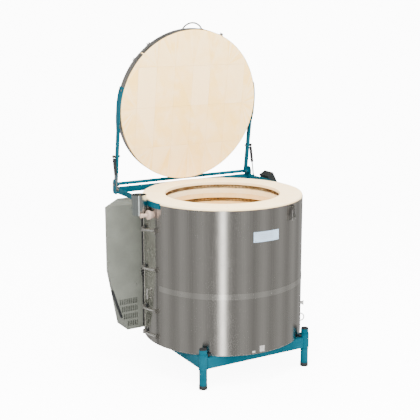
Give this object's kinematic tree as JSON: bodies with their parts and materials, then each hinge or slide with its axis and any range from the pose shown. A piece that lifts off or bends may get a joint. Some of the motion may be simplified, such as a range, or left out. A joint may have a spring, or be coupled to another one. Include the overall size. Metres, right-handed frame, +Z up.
{
  "type": "pottery kiln",
  "caption": "Round top-loading electric pottery kiln with a hinged brick lid held up by gas struts, a side switch box, a vent and an adjustable leg frame.",
  "frame": {"origin": "on the floor, on the upright axis of the round chamber", "axes": "+Z up, -Y towards the potter at the front, +X to the potter's right; the lid hinge is at the back"},
  "size_m": [1.2517, 0.9633, 1.8653],
  "materials": {
    "frame_paint": "gloss powder coat",
    "stainless": "brushed upright",
    "bright_steel": "polished",
    "lid_brick": "matt insulating brick",
    "rim_brick": "matt, coated",
    "wall_brick": "matt insulating brick",
    "floor_brick": "matt insulating brick",
    "insulation": "matt board",
    "element_wire": "oxidised wire",
    "ceramic": "unglazed",
    "box_paint": "satin powder coat",
    "dark_trim": "satin",
    "black_plastic": "matt",
    "strut_barrel": "gloss",
    "strut_rod": "ground",
    "controller_case": "fine texture",
    "controller_panel": "satin film",
    "rocker": "gloss",
    "plate_label": "satin"
  },
  "bodies": {
    "kiln": {"base_cross_beams": "frame_paint", "base_side_beams": "frame_paint", "leg_sleeves": "frame_paint", "hinge_frame": "frame_paint", "hinge_side_left": "frame_paint", "hinge_side_right": "frame_paint", "controller_holder": "frame_paint", "jacket": "stainless", "jacket_band": "stainless", "floor_plate": "stainless", "vent_pipe": "stainless", "hinge_pins": "bright_steel", "jacket_fittings": "bright_steel", "latch_base": "bright_steel", "seam_springs": "bright_steel", "seam_spring_brackets": "bright_steel", "rim_bricks": "rim_brick", "wall_bricks": "wall_brick", "floor_bricks": "floor_brick", "wall_insulation": "insulation", "floor_insulation": "insulation", "heating_elements": "element_wire", "element_tubes": "ceramic", "thermocouple": "ceramic", "vent_port": "ceramic", "switch_box_shell": "box_paint", "switch_box_cover": "box_paint", "switch_box_side_plate": "dark_trim", "seam_spring_guides": "dark_trim", "leg_clamp_screws": "dark_trim", "mains_gland": "black_plastic", "contactors": "black_plastic", "controller_housing": "controller_case", "controller_face": "controller_panel", "data_plate": "plate_label"},
    "lid": {"lid_bricks": "lid_brick", "lid_band": "stainless", "lid_band_fittings": "bright_steel", "lid_handle": "bright_steel", "lid_arm_left": "frame_paint", "lid_arm_right": "frame_paint", "lid_cross_tube": "frame_paint", "lid_pins": "bright_steel"},
    "strut_cylinder_left": {"strut_cylinder_left": "strut_barrel"},
    "strut_rod_left": {"strut_rod_left": "strut_rod"},
    "strut_cylinder_right": {"strut_cylinder_right": "strut_barrel"},
    "strut_rod_right": {"strut_rod_right": "strut_rod"},
    "vent_plug": {"vent_plug": "ceramic"},
    "latch_lever": {"latch_lever": "bright_steel"},
    "latch_bail": {"latch_bail": "bright_steel"},
    "leg_front_left": {"leg_tube_front_left": "frame_paint", "leg_ends_front_left": "black_plastic"},
    "leg_front_right": {"leg_tube_front_right": "frame_paint", "leg_ends_front_right": "black_plastic"},
    "leg_rear_left": {"leg_tube_rear_left": "frame_paint", "leg_ends_rear_left": "black_plastic"},
    "leg_rear_right": {"leg_tube_rear_right": "frame_paint", "leg_ends_rear_right": "black_plastic"},
    "power_rocker": {"power_rocker": "rocker"}
  },
  "joints": [
    {"name": "lid_hinge", "type": "hinge", "parent": "kiln", "child": "lid", "pos_m": [0, 0.435, 0.967], "axis": [1, 0, 0], "range_deg": [0, 81.7], "stiffness_Nm_per_rad": 12, "springref_deg": -143.24},
    {"name": "strut_pivot_left", "type": "hinge", "parent": "lid", "child": "strut_cylinder_left", "pos_m": [-0.4532, 0.42773, 1.12763], "axis": [1, 0, 0], "range_deg": [-0.5, 1.5]},
    {"name": "strut_slide_left", "type": "slide", "parent": "strut_cylinder_left", "child": "strut_rod_left", "axis": [0, 0.2002, 0.9797], "range_m": [0, 0.067]},
    {"name": "strut_pivot_right", "type": "hinge", "parent": "lid", "child": "strut_cylinder_right", "pos_m": [0.4532, 0.42773, 1.12763], "axis": [1, 0, 0], "range_deg": [-0.5, 1.5]},
    {"name": "strut_slide_right", "type": "slide", "parent": "strut_cylinder_right", "child": "strut_rod_right", "axis": [0, 0.2002, 0.9797], "range_m": [0, 0.067]},
    {"name": "vent_plug_slide", "type": "slide", "parent": "kiln", "child": "vent_plug", "axis": [-1, 0, 0], "range_m": [0, 0.055]},
    {"name": "latch_lever_hinge", "type": "hinge", "parent": "kiln", "child": "latch_lever", "pos_m": [0.18263, -0.41018, 0.928], "axis": [-0.9135, -0.4067, 0], "range_deg": [0, 90]},
    {"name": "latch_bail_hinge", "type": "hinge", "parent": "latch_lever", "child": "latch_bail", "pos_m": [0.18607, -0.41792, 0.91353], "axis": [-0.9135, -0.4067, 0], "range_deg": [-10, 100]},
    {"name": "leg_slide_front_left", "type": "slide", "parent": "kiln", "child": "leg_front_left", "axis": [0, 0, -1], "range_m": [-0.05, 0.02]},
    {"name": "leg_slide_front_right", "type": "slide", "parent": "kiln", "child": "leg_front_right", "axis": [0, 0, -1], "range_m": [-0.05, 0.02]},
    {"name": "leg_slide_rear_left", "type": "slide", "parent": "kiln", "child": "leg_rear_left", "axis": [0, 0, -1], "range_m": [-0.05, 0.02]},
    {"name": "leg_slide_rear_right", "type": "slide", "parent": "kiln", "child": "leg_rear_right", "axis": [0, 0, -1], "range_m": [-0.05, 0.02]},
    {"name": "power_rocker_hinge", "type": "hinge", "parent": "kiln", "child": "power_rocker", "pos_m": [0.60817, 0.348, 0.8264], "axis": [0, -1, 0], "range_deg": [0, 9]}
  ],
  "couplings": [
    {"joint": "strut_pivot_left", "follows": "lid_hinge", "ratio": 0.00823},
    {"joint": "strut_slide_left", "follows": "lid_hinge", "m_per_rad": 0.04677},
    {"joint": "strut_pivot_right", "follows": "lid_hinge", "ratio": 0.00823},
    {"joint": "strut_slide_right", "follows": "lid_hinge", "m_per_rad": 0.04677}
  ]
}
